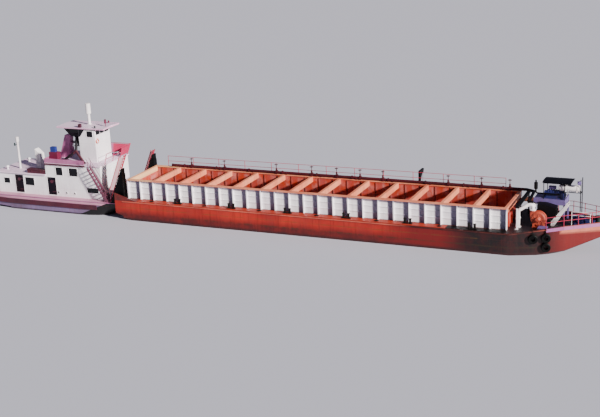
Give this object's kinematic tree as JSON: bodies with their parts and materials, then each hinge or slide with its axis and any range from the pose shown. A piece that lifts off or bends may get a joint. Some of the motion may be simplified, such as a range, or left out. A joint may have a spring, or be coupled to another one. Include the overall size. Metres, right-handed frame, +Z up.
{
  "type": "half-size scale model of a sand dredger: hopper barge with pusher boat",
  "caption": "Sand dredger, a 1:2 scale model: hopper barge with open hold, crossbeams and bow pump, lashed to a pusher with deckhouse and wheelhouse tower.",
  "frame": {"origin": "on the light waterline, on the centreline, at the middle of the hold", "axes": "+X towards the bow, +Y to port, +Z up"},
  "size_m": [30.9, 3.97, 5.75],
  "materials": {
    "hull_red": "matt red paint, rust and dirt",
    "coaming_white": "satin off-white paint",
    "rail_peach": "faded matt paint over rust",
    "pipe_maroon": "satin maroon paint",
    "deck_black": "worn black paint",
    "pump_salmon": "satin salmon paint",
    "pipe_white": "satin white paint",
    "engine_blue": "satin dark blue paint",
    "soot_black": "sooty black paint",
    "canopy_black": "matt black painted sheet metal",
    "stair_rose": "faded rose paint",
    "platform_grey": "satin grey-lilac paint",
    "house_white": "satin white paint",
    "roof_grey": "satin light grey paint",
    "pusher_grey": "satin grey-violet paint",
    "rail_maroon": "satin dark maroon paint",
    "rail_red": "satin red paint",
    "knee_black": "black rubber fendering",
    "door_dark": "satin dark paint",
    "locker_red": "satin magenta-red paint",
    "bronze": "cast bronze",
    "pipe_rust": "rusty primed steel"
  },
  "bodies": {
    "vessel": {"barge_hull": "hull_red", "coaming_starboard": "coaming_white", "coaming_port": "coaming_white", "coaming_aft": "coaming_white", "coaming_fore": "coaming_white", "hopper_top_frame": "rail_peach", "side_deck_starboard": "deck_black", "side_deck_port": "deck_black", "pump_casing": "pump_salmon", "discharge_pipe": "pipe_white", "loading_pipe": "pipe_maroon", "port_handrail": "rail_red", "suction_inlet": "pipe_rust", "hoist_davit": "soot_black", "pump_platform": "platform_grey", "pump_engine": "engine_blue", "drive_case": "soot_black", "engine_exhaust": "soot_black", "canopy_frame": "soot_black", "canopy": "canopy_black", "fuel_tank": "pipe_white", "platform_stair": "pipe_white", "bow_winch": "engine_blue", "bow_railing": "rail_red", "pusher_hull": "pusher_grey", "rub_rail": "rail_maroon", "push_knee_starboard": "knee_black", "push_knee_port": "knee_black", "house_side_starboard": "house_white", "block_side_starboard": "house_white", "house_side_port": "house_white", "block_side_port": "house_white", "house_aft_wall": "house_white", "block_aft_wall": "house_white", "block_front_wall": "house_white", "house_roof": "roof_grey", "block_roof": "roof_grey", "roof_railing": "rail_red", "tower_side_starboard": "house_white", "tower_side_port": "house_white", "tower_front": "house_white", "tower_aft": "house_white", "wheelhouse_bay": "door_dark", "bay_support": "rail_maroon", "wheelhouse_roof": "roof_grey", "mast": "pipe_white", "aft_mast": "pipe_white", "funnel": "pipe_white", "roof_locker": "locker_red", "deck_stair": "stair_rose"},
    "propeller_starboard": {"propeller_starboard": "bronze"},
    "propeller_port": {"propeller_port": "bronze"},
    "rudder_starboard": {"rudder_starboard": "hull_red"},
    "rudder_port": {"rudder_port": "hull_red"},
    "house_door_starboard": {"house_door_starboard": "door_dark"},
    "house_door_port": {"house_door_port": "door_dark"},
    "block_door_starboard": {"block_door_starboard": "door_dark"},
    "tower_door": {"tower_door": "door_dark"},
    "suction_pipe": {"suction_pipe": "pipe_rust"},
    "drag_head": {"drag_head": "pipe_rust"}
  },
  "joints": [
    {"name": "propeller_starboard_spin", "type": "hinge", "parent": "vessel", "child": "propeller_starboard", "pos_m": [-15.95, -0.65, -0.325], "axis": [1, 0, 0], "continuous": true},
    {"name": "propeller_port_spin", "type": "hinge", "parent": "vessel", "child": "propeller_port", "pos_m": [-15.95, 0.65, -0.325], "axis": [1, 0, 0], "continuous": true},
    {"name": "rudder_starboard_turn", "type": "hinge", "parent": "vessel", "child": "rudder_starboard", "pos_m": [-16.5, -0.65, 0], "axis": [0, 0, 1], "range_deg": [-35, 35]},
    {"name": "rudder_port_turn", "type": "hinge", "parent": "vessel", "child": "rudder_port", "pos_m": [-16.5, 0.65, 0], "axis": [0, 0, 1], "range_deg": [-35, 35]},
    {"name": "house_door_hinge_starboard", "type": "hinge", "parent": "vessel", "child": "house_door_starboard", "pos_m": [-15.257, -1.25, 1.2], "axis": [0, 0, 1], "range_deg": [0, 110]},
    {"name": "house_door_hinge_port", "type": "hinge", "parent": "vessel", "child": "house_door_port", "pos_m": [-15.257, 1.25, 1.2], "axis": [0, 0, -1], "range_deg": [0, 110]},
    {"name": "block_door_hinge_starboard", "type": "hinge", "parent": "vessel", "child": "block_door_starboard", "pos_m": [-13.307, -1.25, 1.2], "axis": [0, 0, 1], "range_deg": [0, 110]},
    {"name": "tower_door_hinge", "type": "hinge", "parent": "vessel", "child": "tower_door", "pos_m": [-11.457, 0.65, 2.9], "axis": [0, 0, -1], "range_deg": [0, 110]},
    {"name": "suction_trunnion", "type": "hinge", "parent": "vessel", "child": "suction_pipe", "pos_m": [10.25, 1.86, 1.31], "axis": [0, -1, 0], "range_deg": [0, 50]},
    {"name": "drag_head_pivot", "type": "hinge", "parent": "suction_pipe", "child": "drag_head", "pos_m": [3.55, 2.01, 1.31], "axis": [0, 1, 0], "range_deg": [0, 45]}
  ],
  "couplings": [
    {"joint": "rudder_port_turn", "follows": "rudder_starboard_turn", "ratio": 1}
  ]
}
